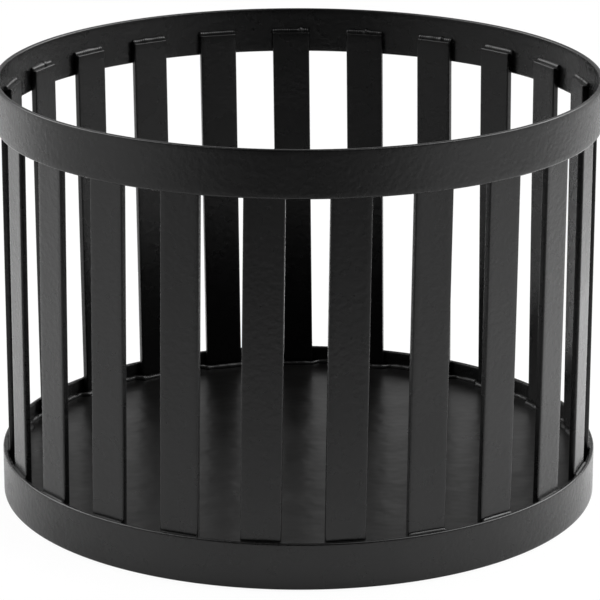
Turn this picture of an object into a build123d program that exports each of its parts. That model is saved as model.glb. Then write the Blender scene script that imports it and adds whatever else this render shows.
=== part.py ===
from build123d import *
import os
from math import asin, cos, degrees, radians, sin, sqrt, tan

# A round, open-topped log basket, welded from flat steel bar and powder coated.
# Two rolled hoops hold a ring of upright slats on their inner walls, and a round
# sheet-steel plate is let into the lower hoop as the floor of the basket.
#
# Millimetres, +Z up. The origin is on the basket's axis, at the level of the floor
# that it stands on. Angles are degrees about +Z, counted from +X.

# Overall size
BASKET_DIAMETER = 390.0
BASKET_HEIGHT = 277.5

# Bar stock as bought, and the powder coat that every face of it carries
COAT = 0.12
HOOP_BAR_HEIGHT = 30.0 + 2 * COAT
HOOP_BAR_THICKNESS = 3.0 + 2 * COAT
SLAT_BAR_WIDTH = 25.0 + 2 * COAT
SLAT_BAR_THICKNESS = 4.0 + 2 * COAT
BAR_EDGE_RADIUS = 0.8
CUT_END_RADIUS = 0.5

# The slats, evenly spread, each leaning a little the same way along the hoops
SLAT_COUNT = 23
FIRST_SLAT_ANGLE = -96.55
SLAT_LEAN = 0.71
SLAT_TOP_BELOW_RIM = 16.0
SLAT_FIT_UP_GAP = 0.1

# The floor plate, let into the lower hoop
PLATE_TOP_HEIGHT = 19.0
PLATE_THICKNESS = 2.0 + 2 * COAT
PLATE_EDGE_CLEARANCE = 0.1

# Weld beads
END_BEAD_LEG = 2.6
END_BEAD_LENGTH = 23.0
FOOT_BEAD_LEG = 2.2
FOOT_BEAD_LENGTH = 25.0
RIM_BEAD_LEG = 1.8
RIM_BEAD_LENGTH = 24.0
SEAM_BEAD_LEG = 2.2
SEAM_BEAD_CLEARANCE = 0.5
BEAD_CROWN = 0.6
HOOP_GAP = 1.6

# Worked out from the above
HOOP_OUTER_RADIUS = BASKET_DIAMETER / 2
HOOP_INNER_RADIUS = HOOP_OUTER_RADIUS - HOOP_BAR_THICKNESS
HOOP_MID_RADIUS = HOOP_OUTER_RADIUS - HOOP_BAR_THICKNESS / 2
UPPER_HOOP_BASE = BASKET_HEIGHT - HOOP_BAR_HEIGHT
HOOP_GAP_ANGLE = degrees(HOOP_GAP / HOOP_MID_RADIUS)
SLAT_PITCH = 360 / SLAT_COUNT
SLAT_TOP_HEIGHT = BASKET_HEIGHT - SLAT_TOP_BELOW_RIM
SLAT_RISE = SLAT_TOP_HEIGHT - PLATE_TOP_HEIGHT
SLAT_END_SHIFT = SLAT_RISE / 2 * tan(radians(SLAT_LEAN))
SLAT_REACH = SLAT_BAR_WIDTH / 2 + SLAT_END_SHIFT
SLAT_OUTER_FACE = sqrt(HOOP_INNER_RADIUS**2 - SLAT_REACH**2) - SLAT_FIT_UP_GAP
SLAT_INNER_FACE = SLAT_OUTER_FACE - SLAT_BAR_THICKNESS
SLAT_MID_RADIUS = SLAT_OUTER_FACE - SLAT_BAR_THICKNESS / 2
HOOP_JOINT_ANGLE = FIRST_SLAT_ANGLE + (SLAT_COUNT // 2) * SLAT_PITCH

SLAT_ANGLES = [FIRST_SLAT_ANGLE + step * SLAT_PITCH for step in range(SLAT_COUNT)]


def outward(angle):
    """Unit vector from the axis towards the wall."""
    return Vector(cos(radians(angle)), sin(radians(angle)), 0)


def along_wall(angle):
    """Unit vector along the wall, counter-clockwise seen from above."""
    return Vector(-sin(radians(angle)), cos(radians(angle)), 0)


def upright_plane(angle, shift=0.0):
    """Plane through +Z with its x axis pointing outward, moved along the wall by shift."""
    return Plane(
        origin=along_wall(angle) * shift,
        x_dir=outward(angle),
        z_dir=along_wall(angle) * -1,
    )


def bead_section(plane, wall, base, leg, side=-1):
    """A convex fillet bead in the corner at (wall, base), on the axis side unless side is 1."""
    with BuildSketch(plane) as section:
        with BuildLine():
            Line((wall, base + leg), (wall, base))
            Line((wall, base), (wall + side * leg, base))
            ThreePointArc(
                (wall + side * leg, base),
                (wall + side * leg * BEAD_CROWN, base + leg * BEAD_CROWN),
                (wall, base + leg),
            )
        make_face()
    return section.sketch


def write(part, name):
    part.label = name
    export_step(part, f"parts/{name}.step")


def make_hoop(base):
    """A flat bar rolled into a hoop, open by the gap that its closing weld fills."""
    with BuildPart() as hoop:
        with BuildSketch(upright_plane(HOOP_JOINT_ANGLE + HOOP_GAP_ANGLE / 2)):
            with Locations((HOOP_MID_RADIUS, base + HOOP_BAR_HEIGHT / 2)):
                RectangleRounded(HOOP_BAR_THICKNESS, HOOP_BAR_HEIGHT, BAR_EDGE_RADIUS)
        revolve(axis=Axis.Z, revolution_arc=360 - HOOP_GAP_ANGLE)
    return hoop


def make_closing_weld(base):
    """The butt weld that closes a hoop, ground flush with the bar."""
    with BuildPart() as closing_weld:
        with BuildSketch(upright_plane(HOOP_JOINT_ANGLE - HOOP_GAP_ANGLE / 2)):
            with Locations((HOOP_MID_RADIUS, base + HOOP_BAR_HEIGHT / 2)):
                RectangleRounded(HOOP_BAR_THICKNESS, HOOP_BAR_HEIGHT, BAR_EDGE_RADIUS)
        revolve(axis=Axis.Z, revolution_arc=HOOP_GAP_ANGLE)
    return closing_weld


def make_slat(angle):
    """A flat bar standing on the plate, against both hoops, with level cut ends."""
    foot = outward(angle) * SLAT_MID_RADIUS - along_wall(angle) * SLAT_END_SHIFT
    foot_plane = Plane(
        origin=(foot.X, foot.Y, PLATE_TOP_HEIGHT),
        x_dir=outward(angle),
        z_dir=(0, 0, 1),
    )
    lean = along_wall(angle) * (2 * SLAT_END_SHIFT) + Vector(0, 0, SLAT_RISE)
    with BuildPart() as slat:
        with BuildSketch(foot_plane):
            RectangleRounded(SLAT_BAR_THICKNESS, SLAT_BAR_WIDTH, BAR_EDGE_RADIUS)
        extrude(amount=lean.length, dir=lean.normalized())
        fillet(slat.faces().sort_by(Axis.Z)[-1].edges(), CUT_END_RADIUS)
    return slat


def make_end_bead(angle):
    """The bead across a slat's top end, along the upper hoop's inner wall."""
    bead_angle = degrees(END_BEAD_LENGTH / HOOP_INNER_RADIUS)
    middle = angle + degrees(asin(SLAT_END_SHIFT / HOOP_INNER_RADIUS))
    start_plane = upright_plane(middle - bead_angle / 2)
    with BuildPart() as bead:
        section = bead_section(start_plane, HOOP_INNER_RADIUS, SLAT_TOP_HEIGHT, END_BEAD_LEG)
        revolve(section, axis=Axis.Z, revolution_arc=bead_angle)
    return bead


def make_foot_bead(angle):
    """The bead along a slat's foot, on the plate and against the slat's inner face."""
    foot_plane = upright_plane(angle, -SLAT_END_SHIFT)
    with BuildPart() as bead:
        section = bead_section(foot_plane, SLAT_INNER_FACE, PLATE_TOP_HEIGHT, FOOT_BEAD_LEG)
        extrude(section, amount=FOOT_BEAD_LENGTH / 2, both=True)
    return bead


def make_rim_bead(angle):
    """The bead on the lower hoop's top edge, against a slat's outer face."""
    rim_height = HOOP_BAR_HEIGHT - PLATE_TOP_HEIGHT
    shift = SLAT_END_SHIFT * (2 * rim_height / SLAT_RISE - 1)
    rim_plane = upright_plane(angle, shift)
    with BuildPart() as bead:
        section = bead_section(rim_plane, SLAT_OUTER_FACE, HOOP_BAR_HEIGHT, RIM_BEAD_LEG, side=1)
        extrude(section, amount=RIM_BEAD_LENGTH / 2, both=True)
    return bead


def make_seam_bead(angle):
    """The bead along the plate's rim, from one slat's foot to the next one's."""
    reach_before = SLAT_BAR_WIDTH / 2 - SLAT_END_SHIFT + SEAM_BEAD_CLEARANCE
    reach_after = SLAT_BAR_WIDTH / 2 + SLAT_END_SHIFT + SEAM_BEAD_CLEARANCE
    start = angle + degrees(asin(reach_before / SLAT_INNER_FACE))
    end = angle + SLAT_PITCH - degrees(asin(reach_after / SLAT_INNER_FACE))
    start_plane = upright_plane(start)
    with BuildPart() as bead:
        section = bead_section(start_plane, HOOP_INNER_RADIUS, PLATE_TOP_HEIGHT, SEAM_BEAD_LEG)
        revolve(section, axis=Axis.Z, revolution_arc=end - start)
    return bead


os.makedirs("parts", exist_ok=True)

# Hoops and their closing welds
top_ring = make_hoop(UPPER_HOOP_BASE)
write(top_ring.part, "top_ring")

bottom_ring = make_hoop(0)
write(bottom_ring.part, "bottom_ring")

top_ring_closing_weld = make_closing_weld(UPPER_HOOP_BASE)
write(top_ring_closing_weld.part, "top_ring_closing_weld")

bottom_ring_closing_weld = make_closing_weld(0)
write(bottom_ring_closing_weld.part, "bottom_ring_closing_weld")

# Floor plate
with BuildPart() as base_plate:
    with BuildSketch(Plane.XY.offset(PLATE_TOP_HEIGHT - PLATE_THICKNESS)):
        Circle(HOOP_INNER_RADIUS - PLATE_EDGE_CLEARANCE)
    extrude(amount=PLATE_THICKNESS)
write(base_plate.part, "base_plate")

# Slats
for number, slat_angle in enumerate(SLAT_ANGLES, start=1):
    slat = make_slat(slat_angle)
    write(slat.part, f"slat_{number:02d}")

# Weld beads, one node for each kind, as a group of separate solids
top_slat_welds = Compound(children=[make_end_bead(angle).part for angle in SLAT_ANGLES])
write(top_slat_welds, "top_slat_welds")

bottom_slat_welds = Compound(children=[make_foot_bead(angle).part for angle in SLAT_ANGLES])
write(bottom_slat_welds, "bottom_slat_welds")

rim_slat_welds = Compound(children=[make_rim_bead(angle).part for angle in SLAT_ANGLES])
write(rim_slat_welds, "rim_slat_welds")

plate_weld = Compound(children=[make_seam_bead(angle).part for angle in SLAT_ANGLES])
write(plate_weld, "plate_weld")
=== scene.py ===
import math
import random

import bpy
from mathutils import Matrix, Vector, noise


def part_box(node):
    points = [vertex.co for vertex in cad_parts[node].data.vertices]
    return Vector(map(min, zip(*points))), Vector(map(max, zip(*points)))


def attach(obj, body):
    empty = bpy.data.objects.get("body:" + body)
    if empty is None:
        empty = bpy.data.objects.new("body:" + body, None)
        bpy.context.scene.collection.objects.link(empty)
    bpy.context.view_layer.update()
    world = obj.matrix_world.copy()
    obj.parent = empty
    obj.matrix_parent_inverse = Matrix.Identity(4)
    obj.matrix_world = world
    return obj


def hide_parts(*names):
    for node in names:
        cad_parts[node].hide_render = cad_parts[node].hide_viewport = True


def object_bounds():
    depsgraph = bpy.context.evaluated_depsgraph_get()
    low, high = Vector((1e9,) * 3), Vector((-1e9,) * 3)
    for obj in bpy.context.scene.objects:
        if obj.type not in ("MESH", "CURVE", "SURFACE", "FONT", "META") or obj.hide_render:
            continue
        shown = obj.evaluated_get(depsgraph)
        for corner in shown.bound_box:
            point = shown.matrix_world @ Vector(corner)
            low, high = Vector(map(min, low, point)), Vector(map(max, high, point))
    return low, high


# A round log basket of black powder-coated steel: two rolled hoops, a ring of upright
# slats inside them, a floor plate and the weld beads that join them. Metres, +Z up.

# Camera: a long lens, about 2 m back and well above the rim. Its place, pitch and lens were
# fitted to the edges of the hoops and slats in the photograph, then pitch and roll set
CAMERA_DISTANCE = 2.097
CAMERA_HEIGHT = 0.7773
CAMERA_PITCH = math.radians(17.28)
CAMERA_ROLL = math.radians(-0.075)
CAMERA_LENS = 201.3
SENSOR_WIDTH = 36.0
CLIP_START = 0.05
CLIP_END = 50.0

# Studio: each glow has a bearing from the back of the set towards the right, a height above the
# horizon, both in degrees, a focus (the higher, the smaller) and a level. The levels of the
# backdrop, screens and floor glows were set near a fit to the photograph's brightness
GLOWS = {
    "backdrop": (0, 17, 8.0, 0.45),
    "overhead": (0, 90, 2.0, 0.1),
    "right_box_back": (50, 30, 30.0, 5.0),
    "right_box_back_middle": (62, 36, 30.0, 3.0),
    "right_box_middle": (75, 44, 30.0, 4.0),
    "right_box_front_middle": (92, 55, 30.0, 3.5),
    "right_box_front": (108, 66, 30.0, 2.5),
    "left_box_back": (310, 27, 30.0, 2.0),
    "left_box_back_middle": (302, 35, 30.0, 2.5),
    "left_box_front_middle": (292, 42, 30.0, 4.0),
    "left_box_front": (270, 55, 30.0, 4.0),
    "left_screen": (285, -10, 4.0, 0.4),
    "left_screen_top": (270, 12, 8.0, 0.6),
    "right_screen": (75, -18, 4.0, 0.8),
    "back_left_floor": (310, -17, 15.0, 1.0),
    "back_right_floor": (50, -17, 15.0, 0.4),
    "front_left_floor": (240, -20, 8.0, 0.7),
    "front_right_floor": (120, -20, 8.0, 0.9),
    "front_floor": (180, -25, 8.0, 0.2),
}
FLOOR_GLOW = 0.12
FLOOR_WASH = 0.92
FLOOR_MIDDLE = (0.05, 0.33)
FLOOR_DROP = 0.0005
FLOOR_FADE_START = 0.35
FLOOR_FADE_END = 1.25
PAPER_DARKEST = 0.84
PAPER_LIGHTEST = 0.88
PAPER_GRAIN_SCALE = 3.0
PAPER_ROUGHNESS = 0.9
SPOT_PLACE = (0.60, 0.04, 1.3)
SPOT_POWER = 36.0
SPOT_SPREAD = math.radians(50)
SPOT_SOFTNESS = 0.1

# Powder coat: a pigment's speckle, a haze in the gloss, and tints of near-black
SPECKLE_SCALE = 900.0
SPECKLE_RANGE = (0.35, 0.70)
SPECKLE_SHADES = (0.75, 1.35)
HAZE_SCALE = 38.0
HAZE_RANGE = (0.3, 0.7)
COAT_IOR = 1.43
PLAIN_BLACK = (0.0021, 0.0021, 0.0021)
COOL_BLACK = (0.0020, 0.0020, 0.0021)
WARM_BLACK = (0.0021, 0.0020, 0.0019)

# Seeds of the random draws. The rim beads' one was searched for, so that the tallest beads
# stand at the slats where the photograph shows them
TOP_RING_SEED = 11
BOTTOM_RING_SEED = 12
SLAT_SEED = 100
TOP_BEAD_SEED = 300
RIM_BEAD_SEED = 9730
SEAM_SEED = 500

# Hoops: spans are the mesh's divisions of a bar's thickness and height
HOOP_STEPS = 540
HOOP_SPANS = (2, 10)
HOOP_EDGE_RADIUS = 0.0013
HOOP_WAVE = 0.00012
HOOP_WAVE_COUNTS = (3, 5, 8, 13, 23)
HOOP_WAVE_WEAKEST = 0.3

# Slats: spans are the mesh's divisions of a bar's thickness and width
SLAT_SPANS = (2, 8)
SLAT_END_ZONE = 0.003
SLAT_EDGE_RADIUS = 0.0009
SLAT_END_RADIUS = 0.0006
SLAT_STEPS = 48
SLAT_BOW = 0.0002
SLAT_TWIST = math.radians(0.35)
CORNER_STEPS = 5

# Floor plate
PLATE_RINGS = 70
PLATE_STEPS = 256
PLATE_WAVE = 0.00022
PLATE_WAVE_SCALE = 9
PLATE_WAVE_ROW = 3.1
PLATE_RIPPLE = 0.5
PLATE_RIPPLE_SCALE = 23
PLATE_RIPPLE_ROW = 7.7
PLATE_FLAT_RIM = 0.03

# Weld beads: a blob is a lump somewhere along a bead, drift its slow change of size, and taper
# the share of its half length over which it closes. A mound's lean and fullness are exponents
BEAD_STEP = 0.0004
BEAD_FEWEST_STEPS = 8
BEAD_END_CROWDING = 0.35
BEAD_END_SIZE = 0.002
BEAD_SIDES = 9
BEAD_ROOT = 0.0004
RIPPLE = 0.05
RIPPLE_LENGTH = 0.0016
RIPPLE_ROWS = 100
DRIFT_SCALE = 160
BLOB_REACH = 0.8
BLOB_WIDTH = 0.09
MOUND_LEAN = 0.62
MOUND_FULLNESS = 0.8
TOP_BEAD_LEG = 0.0021
TOP_BEAD_RISE = 1.05
TOP_BEAD_OVERRUN = 0.0012
TOP_BEAD_SAG = 0.001
TOP_BEAD_BLOB = 0.7
TOP_BEAD_DRIFT = 0.22
TOP_BEAD_TAPER = 0.08
RIM_BEAD_HEIGHT = 0.0013
RIM_BEAD_LOWEST = 0.10
RIM_BEAD_WIDTH = 0.0018
RIM_BEAD_BLOB = 0.25
RIM_BEAD_DRIFT = 0.10
RIM_BEAD_TAPER = 0.12
RIM_BEAD_TILT = 0.5
RIM_BEAD_SHORTEST = 0.94
SEAM_LEG = 0.0025
SEAM_STEPS = 1600
SEAM_EASE = 0.0060
SEAM_DRIFT = 0.22
SEAM_SWELL = 0.30
SEAM_SWELL_SCALE = 14
SEAM_SWELL_ROW = 5.5

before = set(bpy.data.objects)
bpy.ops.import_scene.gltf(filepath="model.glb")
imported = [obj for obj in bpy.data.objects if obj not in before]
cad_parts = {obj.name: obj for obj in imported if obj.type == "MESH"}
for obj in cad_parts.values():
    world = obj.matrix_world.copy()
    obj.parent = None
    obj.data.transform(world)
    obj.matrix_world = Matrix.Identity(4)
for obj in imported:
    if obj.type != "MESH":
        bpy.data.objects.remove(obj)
cad_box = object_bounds()
slat_nodes = sorted(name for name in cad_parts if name.startswith("slat_"))


# ---------------------------------------------------------------- materials

def powder_coat(name, tint, roughness, peel_scale, peel, cloud):
    """Black satin powder coat: near-black speckled pigment, hazy gloss and a fine orange peel."""
    material = bpy.data.materials.new(name)
    material.use_nodes = True
    nodes, links = material.node_tree.nodes, material.node_tree.links
    shader = nodes["Principled BSDF"]
    place = nodes.new("ShaderNodeTexCoord")

    def noise_node(scale, detail, rough):
        node = nodes.new("ShaderNodeTexNoise")
        node.inputs["Scale"].default_value = scale
        node.inputs["Detail"].default_value = detail
        node.inputs["Roughness"].default_value = rough
        links.new(place.outputs["Object"], node.inputs["Vector"])
        return node

    pigment = noise_node(SPECKLE_SCALE, detail=2.0, rough=0.6)
    ramp = nodes.new("ShaderNodeValToRGB")
    for stop, position, shade in zip(ramp.color_ramp.elements, SPECKLE_RANGE, SPECKLE_SHADES):
        stop.position = position
        stop.color = (*[channel * shade for channel in tint], 1)
    links.new(pigment.outputs["Fac"], ramp.inputs["Fac"])
    links.new(ramp.outputs["Color"], shader.inputs["Base Color"])

    haze = noise_node(HAZE_SCALE, detail=4.0, rough=0.55)
    spread = nodes.new("ShaderNodeMapRange")
    spread.inputs["From Min"].default_value = HAZE_RANGE[0]
    spread.inputs["From Max"].default_value = HAZE_RANGE[1]
    spread.inputs["To Min"].default_value = roughness - cloud
    spread.inputs["To Max"].default_value = roughness + cloud
    links.new(haze.outputs["Fac"], spread.inputs["Value"])
    links.new(spread.outputs["Result"], shader.inputs["Roughness"])

    peel_noise = noise_node(peel_scale, detail=1.0, rough=0.5)
    peel_bump = nodes.new("ShaderNodeBump")
    peel_bump.inputs["Strength"].default_value = 1.0
    peel_bump.inputs["Distance"].default_value = peel
    links.new(peel_noise.outputs["Fac"], peel_bump.inputs["Height"])
    links.new(peel_bump.outputs["Normal"], shader.inputs["Normal"])
    shader.inputs["IOR"].default_value = COAT_IOR
    return material


COATS = {
    "hoop_coat": powder_coat("hoop_coat", COOL_BLACK, 0.27, peel_scale=290.0, peel=1.9e-4, cloud=0.03),
    "slat_coat": powder_coat("slat_coat", COOL_BLACK, 0.27, peel_scale=290.0, peel=1.2e-4, cloud=0.03),
    "plate_coat": powder_coat("plate_coat", WARM_BLACK, 0.30, peel_scale=80.0, peel=3.5e-4, cloud=0.03),
    "weld_coat": powder_coat("weld_coat", PLAIN_BLACK, 0.28, peel_scale=290.0, peel=1.2e-4, cloud=0.04),
}


# ---------------------------------------------------------------- mesh helpers

def add_piece(name, verts, faces, slot, nodes):
    """A finished piece of the basket, standing for CAD nodes."""
    mesh = bpy.data.meshes.new(name)
    mesh.from_pydata([tuple(v) for v in verts], [], faces)
    mesh.update()
    mesh.polygons.foreach_set("use_smooth", [True] * len(mesh.polygons))
    piece = bpy.data.objects.new(name, mesh)
    bpy.context.scene.collection.objects.link(piece)
    mesh.materials.append(COATS[slot])
    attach(piece, "root")
    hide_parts(*nodes)
    return piece


def rounded_rectangle(width, height, radius, spans):
    """Points round a rectangle with round corners, counter-clockwise, centred on (0, 0).

    spans says into how many parts its straight sides are divided, across and up.
    """
    corners = []
    for turn, (sx, sy) in enumerate([(1, -1), (1, 1), (-1, 1), (-1, -1)]):
        cx, cy = sx * (width / 2 - radius), sy * (height / 2 - radius)
        start = math.radians(-90 + 90 * turn)
        corner = []
        for step in range(CORNER_STEPS + 1):
            a = start + math.radians(90) * step / CORNER_STEPS
            corner.append((cx + radius * math.cos(a), cy + radius * math.sin(a)))
        corners.append(corner)
    points = []
    for turn, corner in enumerate(corners):
        points += corner
        last, first = corner[-1], corners[(turn + 1) % 4][0]
        count = spans[1] if turn % 2 == 0 else spans[0]
        for step in range(1, count):
            t = step / count
            x = last[0] + (first[0] - last[0]) * t
            y = last[1] + (first[1] - last[1]) * t
            points.append((x, y))
    return points


def tube_faces(rings, sides, closed_path):
    """Quads between consecutive rings of points, and from the last to the first if closed_path."""
    faces = []
    count = rings if closed_path else rings - 1
    for i in range(count):
        j = (i + 1) % rings
        for k in range(sides):
            m = (k + 1) % sides
            faces.append((i * sides + k, i * sides + m, j * sides + m, j * sides + k))
    return faces


# ---------------------------------------------------------------- hoops

def make_hoop(node, seed, covers):
    """A flat bar rolled into a hoop, with the faint waves that rolling and welding leave."""
    low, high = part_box(node)
    outer = (high.x - low.x + high.y - low.y) / 4
    bar = hoop_thickness(node)
    middle = outer - bar / 2
    height = high.z - low.z
    section = rounded_rectangle(bar, height, HOOP_EDGE_RADIUS, HOOP_SPANS)
    chance = random.Random(seed)
    waves = [(n, chance.uniform(HOOP_WAVE_WEAKEST, 1.0) / n, chance.uniform(0, math.tau))
             for n in HOOP_WAVE_COUNTS]
    verts = []
    for step in range(HOOP_STEPS):
        a = math.tau * step / HOOP_STEPS
        wave = HOOP_WAVE * sum(size * math.sin(n * a + phase) for n, size, phase in waves)
        for x, z in section:
            r = middle + x + wave
            verts.append((r * math.cos(a), r * math.sin(a), low.z + height / 2 + z))
    faces = [face[::-1] for face in tube_faces(HOOP_STEPS, len(section), True)]
    return add_piece(node + "_bar", verts, faces, "hoop_coat", covers)


def hoop_radius(node):
    """A hoop's inner radius, from its CAD vertices."""
    return min(math.hypot(v.co.x, v.co.y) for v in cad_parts[node].data.vertices)


def hoop_thickness(node):
    """A hoop's bar thickness, from the radii of its CAD vertices."""
    radii = [math.hypot(v.co.x, v.co.y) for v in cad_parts[node].data.vertices]
    return max(radii) - min(radii)


# ---------------------------------------------------------------- slats

def slat_place(node):
    """Where a slat stands, from its CAD vertices: its directions, depths, section, lean and ends."""
    low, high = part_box(node)
    middle = (low + high) / 2
    angle = math.atan2(middle.y, middle.x)
    outward = Vector((math.cos(angle), math.sin(angle), 0))
    along = Vector((-math.sin(angle), math.cos(angle), 0))
    points = [v.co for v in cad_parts[node].data.vertices]
    depth = [p.dot(outward) for p in points]
    foot = [p.dot(along) for p in points if p.z < low.z + SLAT_END_ZONE]
    top = [p.dot(along) for p in points if p.z > high.z - SLAT_END_ZONE]
    lean = (max(top) + min(top)) / 2 - (max(foot) + min(foot)) / 2
    return {
        "outward": outward,
        "along": along,
        "angle": angle,
        "inner": min(depth),
        "outer": max(depth),
        "width": max(foot) - min(foot),
        "thickness": max(depth) - min(depth),
        "lean": lean,
        "foot": low.z,
        "top": high.z,
    }


def on_slat(place, x, y, z):
    """A point given by depth x from the slat's middle, y along the wall and height z."""
    share = (z - place["foot"]) / (place["top"] - place["foot"]) - 0.5
    radius = (place["inner"] + place["outer"]) / 2 + x
    return place["outward"] * radius + place["along"] * (y + place["lean"] * share) + Vector((0, 0, z))


def make_slat(node, seed):
    """An upright flat bar with a round-edged top end, bowed and twisted by a hair."""
    place = slat_place(node)
    chance = random.Random(seed)
    bow = chance.uniform(-1, 1) * SLAT_BOW
    twist = chance.uniform(-1, 1) * SLAT_TWIST
    section = rounded_rectangle(place["thickness"], place["width"], SLAT_EDGE_RADIUS, SLAT_SPANS)
    straight = place["top"] - SLAT_END_RADIUS - place["foot"]
    levels = [(place["foot"] + straight * i / SLAT_STEPS, 0.0) for i in range(SLAT_STEPS + 1)]
    for step in range(1, CORNER_STEPS + 1):
        a = math.radians(90) * step / CORNER_STEPS
        z = place["top"] - SLAT_END_RADIUS * (1 - math.sin(a))
        levels.append((z, SLAT_END_RADIUS * (1 - math.cos(a))))
    verts = []
    for z, inset in levels:
        share = (z - place["foot"]) / (place["top"] - place["foot"])
        turn = twist * (share - 0.5)
        push = bow * math.sin(math.pi * share)
        for x, y in section:
            x -= math.copysign(min(inset, abs(x)), x)
            y -= math.copysign(min(inset, abs(y)), y)
            turned_x = x * math.cos(turn) - y * math.sin(turn)
            turned_y = x * math.sin(turn) + y * math.cos(turn)
            verts.append(on_slat(place, turned_x + push, turned_y, z))
    sides = len(section)
    faces = tube_faces(len(levels), sides, False)
    faces.append(tuple(range(sides))[::-1])
    faces.append(tuple(range((len(levels) - 1) * sides, len(levels) * sides)))
    return add_piece(node + "_bar", verts, faces, "slat_coat", [node])


# ---------------------------------------------------------------- floor plate

def make_plate():
    """The round sheet-steel floor: a top with faint waves that die out at its rim, a side and a base."""
    low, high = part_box("base_plate")
    radius = (high.x - low.x) / 2
    verts, faces = [], []

    def height(x, y):
        wave = noise.noise(Vector((x * PLATE_WAVE_SCALE, y * PLATE_WAVE_SCALE, PLATE_WAVE_ROW)))
        fine_place = Vector((x * PLATE_RIPPLE_SCALE, y * PLATE_RIPPLE_SCALE, PLATE_RIPPLE_ROW))
        wave = wave + PLATE_RIPPLE * noise.noise(fine_place)
        rim = min(1.0, (radius - math.hypot(x, y)) / PLATE_FLAT_RIM)
        return high.z + PLATE_WAVE * wave * max(0.0, rim)

    verts.append(Vector((0, 0, height(0, 0))))
    for i in range(1, PLATE_RINGS + 1):
        r = radius * i / PLATE_RINGS
        for k in range(PLATE_STEPS):
            a = math.tau * k / PLATE_STEPS
            x, y = r * math.cos(a), r * math.sin(a)
            verts.append(Vector((x, y, height(x, y))))
    for k in range(PLATE_STEPS):
        faces.append((0, 1 + k, 1 + (k + 1) % PLATE_STEPS))
    for i in range(PLATE_RINGS - 1):
        inner = 1 + i * PLATE_STEPS
        outer = inner + PLATE_STEPS
        for k in range(PLATE_STEPS):
            m = (k + 1) % PLATE_STEPS
            faces.append((inner + k, outer + k, outer + m, inner + m))
    under = len(verts)
    for k in range(PLATE_STEPS):
        a = math.tau * k / PLATE_STEPS
        verts.append(Vector((radius * math.cos(a), radius * math.sin(a), low.z)))
    last = 1 + (PLATE_RINGS - 1) * PLATE_STEPS
    for k in range(PLATE_STEPS):
        m = (k + 1) % PLATE_STEPS
        faces.append((last + k, under + k, under + m, last + m))
    faces.append(tuple(under + k for k in range(PLATE_STEPS))[::-1])
    return add_piece("base_plate_sheet", verts, faces, "plate_coat", ["base_plate"])


# ---------------------------------------------------------------- weld beads

def quarter_round(leg_in, leg_up):
    """A convex bead in a corner: its points run from the floor of the corner up to its wall."""
    points = [(-BEAD_ROOT, -BEAD_ROOT), (leg_in, -BEAD_ROOT)]
    for step in range(BEAD_SIDES + 1):
        a = math.radians(90) * step / BEAD_SIDES
        points.append((leg_in * math.cos(a), leg_up * math.sin(a)))
    points.append((-BEAD_ROOT, leg_up))
    return points


def low_mound(width, height):
    """A low bead on a rim: it falls to a crease at the slat and runs out over the rim."""
    points = [(-BEAD_ROOT, -BEAD_ROOT), (-BEAD_ROOT, -BEAD_ROOT / 2)]
    for step in range(BEAD_SIDES + 1):
        t = step / BEAD_SIDES
        rise = math.sin(math.pi * t ** MOUND_LEAN) ** MOUND_FULLNESS
        points.append((width * t, height * rise))
    points.append((width, -BEAD_ROOT))
    return points


class Ripple:
    """How a hand-laid bead swells and shrinks along its length."""

    def __init__(self, chance, blob, drift):
        self.phase = chance.uniform(0, math.tau)
        self.row = chance.uniform(0, RIPPLE_ROWS)
        self.blob_place = chance.uniform(-BLOB_REACH, BLOB_REACH)
        self.blob = blob * chance.uniform(0.0, 1.0) ** 2
        self.drift = drift

    def at(self, distance, share):
        """The bead's size, about 1, at a distance from its middle, which is a share of half of it."""
        wave = RIPPLE * math.sin(math.tau * distance / RIPPLE_LENGTH + self.phase)
        drift = self.drift * noise.noise(Vector((distance * DRIFT_SCALE, self.row, 0)))
        lump = self.blob * math.exp(-((share - self.blob_place) / BLOB_WIDTH) ** 2)
        return 1.0 + wave + drift + lump


def bead_rows(length, ripple, taper):
    """Stations along a bead: distance from its middle, and its size there, tapered to its ends."""
    count = max(BEAD_FEWEST_STEPS, round(length / BEAD_STEP))
    rows = []
    for i in range(count + 1):
        crowded = -math.cos(math.pi * i / count)
        even = 2 * i / count - 1
        share = BEAD_END_CROWDING * crowded + (1 - BEAD_END_CROWDING) * even
        distance = share * length / 2
        edge = max(0.0, (abs(share) - (1 - taper)) / taper)
        close = math.sqrt(max(BEAD_END_SIZE, 1 - edge * edge))
        rows.append((distance, ripple.at(distance, share) * close))
    return rows


def close_bead(rings, verts, faces):
    """Adds one bead, a tube of rings with a cap at each end, to a mesh."""
    first, sides = len(verts), len(rings[0])
    for ring in rings:
        verts += ring
    faces += [tuple(first + v for v in face) for face in tube_faces(len(rings), sides, False)]
    faces.append(tuple(first + k for k in range(sides))[::-1])
    last = first + (len(rings) - 1) * sides
    faces.append(tuple(last + k for k in range(sides)))


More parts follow.
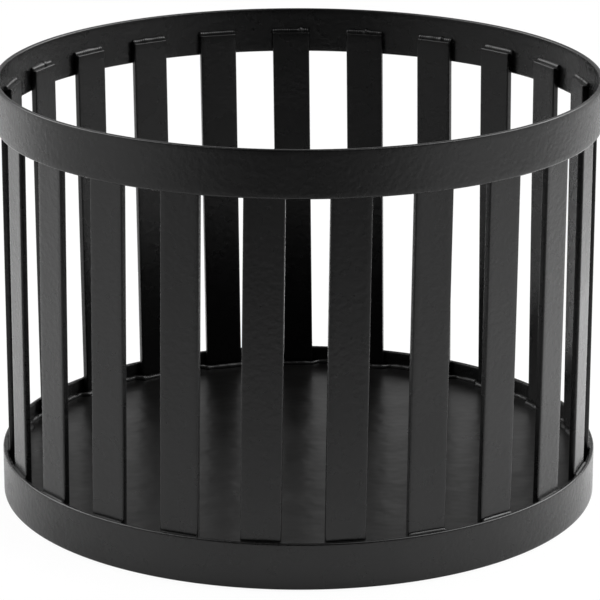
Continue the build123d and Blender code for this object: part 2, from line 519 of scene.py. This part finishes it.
def make_top_beads():
    """The bead along each slat's top end, in the corner with the upper hoop."""
    wall = hoop_radius("top_ring")
    verts, faces = [], []
    for number, node in enumerate(slat_nodes):
        place = slat_place(node)
        chance = random.Random(TOP_BEAD_SEED + number)
        shift = chance.uniform(-1, 1) * TOP_BEAD_OVERRUN
        ripple = Ripple(chance, TOP_BEAD_BLOB, TOP_BEAD_DRIFT)
        rings = []
        for distance, size in bead_rows(place["width"] + TOP_BEAD_OVERRUN, ripple, TOP_BEAD_TAPER):
            turn = place["angle"] + (distance + shift + place["lean"] / 2) / wall
            out = Vector((math.cos(turn), math.sin(turn), 0))
            overhang = max(0.0, abs(distance + shift) - place["width"] / 2)
            base = place["top"] - min(overhang, TOP_BEAD_SAG)
            leg = TOP_BEAD_LEG * size
            rings.append([out * (wall - x) + Vector((0, 0, base + z))
                          for x, z in quarter_round(leg, leg * TOP_BEAD_RISE)])
        close_bead(rings, verts, faces)
    return add_piece("top_weld_beads", verts, faces, "weld_coat", ["top_slat_welds"])


def make_rim_beads():
    """The low bead where each slat's outer face meets the lower hoop's top edge."""
    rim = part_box("bottom_ring")[1].z
    verts, faces = [], []
    for number, node in enumerate(slat_nodes):
        place = slat_place(node)
        chance = random.Random(RIM_BEAD_SEED + number)
        ripple = Ripple(chance, RIM_BEAD_BLOB, RIM_BEAD_DRIFT)
        tall = RIM_BEAD_LOWEST + (1 - RIM_BEAD_LOWEST) * chance.uniform(0, 1) ** 3
        tilt = chance.uniform(-RIM_BEAD_TILT, RIM_BEAD_TILT)
        length = place["width"] * chance.uniform(RIM_BEAD_SHORTEST, 1.0)
        rings = []
        for distance, size in bead_rows(length, ripple, RIM_BEAD_TAPER):
            size *= 1 + tilt * distance / place["width"]
            base = on_slat(place, place["thickness"] / 2, distance, rim)
            rings.append([base + place["outward"] * x + Vector((0, 0, z))
                          for x, z in low_mound(RIM_BEAD_WIDTH, RIM_BEAD_HEIGHT * tall * size)])
        close_bead(rings, verts, faces)
    return add_piece("rim_weld_beads", verts, faces, "weld_coat", ["rim_slat_welds"])


def make_plate_seam():
    """The bead that seals the floor plate, along the lower hoop and in front of each slat's foot."""
    wall = hoop_radius("bottom_ring")
    floor_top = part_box("base_plate")[1].z
    places = [slat_place(node) for node in slat_nodes]
    ripple = Ripple(random.Random(SEAM_SEED), blob=0.0, drift=SEAM_DRIFT)
    rings = []
    for step in range(SEAM_STEPS):
        a = math.tau * step / SEAM_STEPS
        out = Vector((math.cos(a), math.sin(a), 0))
        radius = wall
        for place in places:
            away = (a - place["angle"] + math.pi) % math.tau - math.pi
            across = wall * away + place["lean"] / 2
            if abs(across) > place["width"]:
                continue
            cover = (place["width"] / 2 + SEAM_EASE - abs(across)) / SEAM_EASE
            cover = min(1.0, max(0.0, cover))
            cover = cover * cover * (3 - 2 * cover)
            radius += cover * (place["inner"] / math.cos(away) - wall)
        swell = SEAM_SWELL * noise.noise(Vector((a * SEAM_SWELL_SCALE, SEAM_SWELL_ROW, 0)))
        leg = SEAM_LEG * (ripple.at(a * wall, 0.0) + swell)
        rings.append([out * (radius - x) + Vector((0, 0, floor_top + z))
                      for x, z in quarter_round(leg, leg)])
    verts = [point for ring in rings for point in ring]
    faces = tube_faces(SEAM_STEPS, len(rings[0]), True)
    return add_piece("plate_seam_bead", verts, faces, "weld_coat", ["plate_weld", "bottom_slat_welds"])


# ---------------------------------------------------------------- camera, light, floor

def make_camera():
    """The photograph's viewpoint, in front of the basket and looking down at it."""
    data = bpy.data.cameras.new("camera")
    data.lens = CAMERA_LENS
    data.sensor_width = SENSOR_WIDTH
    data.clip_start = CLIP_START
    data.clip_end = CLIP_END
    camera = bpy.data.objects.new("camera", data)
    camera.location = (0, -CAMERA_DISTANCE, CAMERA_HEIGHT)
    camera.rotation_euler = (math.radians(90) - CAMERA_PITCH, CAMERA_ROLL, 0)
    bpy.context.scene.collection.objects.link(camera)
    bpy.context.scene.camera = camera


def make_world():
    """Soft glows all round, which the camera sees as plain white."""
    world = bpy.data.worlds.new("studio")
    bpy.context.scene.world = world
    world.use_nodes = True
    nodes, links = world.node_tree.nodes, world.node_tree.links
    nodes.clear()
    place = nodes.new("ShaderNodeTexCoord")

    def math_node(operation, first, second):
        node = nodes.new("ShaderNodeMath")
        node.operation = operation
        links.new(first, node.inputs[0])
        if isinstance(second, float):
            node.inputs[1].default_value = second
        else:
            links.new(second, node.inputs[1])
        return node.outputs["Value"]

    total = None
    for bearing, height, focus, level in GLOWS.values():
        turn, rise = math.radians(bearing), math.radians(height)
        towards = nodes.new("ShaderNodeVectorMath")
        towards.operation = "DOT_PRODUCT"
        across, up = math.cos(rise), math.sin(rise)
        towards.inputs[1].default_value = (math.sin(turn) * across, math.cos(turn) * across, up)
        links.new(place.outputs["Generated"], towards.inputs[0])
        power = math_node("MULTIPLY", math_node("SUBTRACT", towards.outputs["Value"], 1.0), focus)
        falloff = nodes.new("ShaderNodeMath")
        falloff.operation = "EXPONENT"
        links.new(power, falloff.inputs[0])
        glow = math_node("MULTIPLY", falloff.outputs["Value"], level)
        total = glow if total is None else math_node("ADD", total, glow)
    room = nodes.new("ShaderNodeBackground")
    room.inputs["Color"].default_value = (1, 1, 1, 1)
    links.new(total, room.inputs["Strength"])
    seen = nodes.new("ShaderNodeBackground")
    seen.inputs["Color"].default_value = (1, 1, 1, 1)
    path = nodes.new("ShaderNodeLightPath")
    mix = nodes.new("ShaderNodeMixShader")
    output = nodes.new("ShaderNodeOutputWorld")
    links.new(path.outputs["Is Camera Ray"], mix.inputs["Fac"])
    links.new(room.outputs["Background"], mix.inputs[1])
    links.new(seen.outputs["Background"], mix.inputs[2])
    links.new(mix.outputs["Shader"], output.inputs["Surface"])


def make_spot():
    """One soft lamp overhead that lights the floor at the right, and isn't mirrored in the steel."""
    data = bpy.data.lights.new("floor_spot", "SPOT")
    data.energy = SPOT_POWER
    data.spot_size = SPOT_SPREAD
    data.spot_blend = 1.0
    data.shadow_soft_size = SPOT_SOFTNESS
    spot = bpy.data.objects.new("floor_spot", data)
    spot.location = SPOT_PLACE
    spot.visible_glossy = False
    bpy.context.scene.collection.objects.link(spot)


def make_floor():
    """A pale sheet of paper, washed out to white for the camera, that fades into the backdrop."""
    mesh = bpy.data.meshes.new("floor")
    half = FLOOR_FADE_END
    corners = [(-half, -half, 0), (half, -half, 0), (half, half, 0), (-half, half, 0)]
    mesh.from_pydata(corners, [], [(0, 1, 2, 3)])
    floor = bpy.data.objects.new("floor", mesh)
    floor.location = (*FLOOR_MIDDLE, cad_box[0].z - FLOOR_DROP)
    bpy.context.scene.collection.objects.link(floor)
    material = bpy.data.materials.new("floor_paper")
    material.use_nodes = True
    nodes, links = material.node_tree.nodes, material.node_tree.links
    shader = nodes["Principled BSDF"]
    grain = nodes.new("ShaderNodeTexNoise")
    grain.inputs["Scale"].default_value = PAPER_GRAIN_SCALE
    ramp = nodes.new("ShaderNodeValToRGB")
    for stop, shade in zip(ramp.color_ramp.elements, (PAPER_DARKEST, PAPER_LIGHTEST)):
        stop.color = (shade, shade, shade, 1)
    links.new(grain.outputs["Fac"], ramp.inputs["Fac"])
    links.new(ramp.outputs["Color"], shader.inputs["Base Color"])
    shader.inputs["Roughness"].default_value = PAPER_ROUGHNESS
    shader.inputs["Emission Color"].default_value = (1, 1, 1, 1)
    shader.inputs["Emission Strength"].default_value = FLOOR_GLOW
    place = nodes.new("ShaderNodeTexCoord")
    distance = nodes.new("ShaderNodeVectorMath")
    distance.operation = "LENGTH"
    links.new(place.outputs["Object"], distance.inputs[0])
    fade = nodes.new("ShaderNodeMapRange")
    fade.inputs["From Min"].default_value = FLOOR_FADE_START
    fade.inputs["From Max"].default_value = FLOOR_FADE_END
    fade.inputs["To Min"].default_value = 1.0
    fade.inputs["To Max"].default_value = 0.0
    links.new(distance.outputs["Value"], fade.inputs["Value"])
    links.new(fade.outputs["Result"], shader.inputs["Alpha"])
    white = nodes.new("ShaderNodeEmission")
    path = nodes.new("ShaderNodeLightPath")
    share = nodes.new("ShaderNodeMath")
    share.operation = "MULTIPLY"
    share.inputs[1].default_value = FLOOR_WASH
    wash = nodes.new("ShaderNodeMixShader")
    links.new(path.outputs["Is Camera Ray"], share.inputs[0])
    links.new(share.outputs["Value"], wash.inputs["Fac"])
    links.new(shader.outputs["BSDF"], wash.inputs[1])
    links.new(white.outputs["Emission"], wash.inputs[2])
    links.new(wash.outputs["Shader"], nodes["Material Output"].inputs["Surface"])
    mesh.materials.append(material)


# ---------------------------------------------------------------- the scene

make_camera()
make_world()
make_spot()
make_floor()

make_hoop("top_ring", TOP_RING_SEED, ["top_ring", "top_ring_closing_weld"])
make_hoop("bottom_ring", BOTTOM_RING_SEED, ["bottom_ring", "bottom_ring_closing_weld"])
make_plate()
for number, node in enumerate(slat_nodes):
    make_slat(node, SLAT_SEED + number)

make_top_beads()
make_rim_beads()
make_plate_seam()

bpy.context.scene.view_settings.view_transform = "Standard"
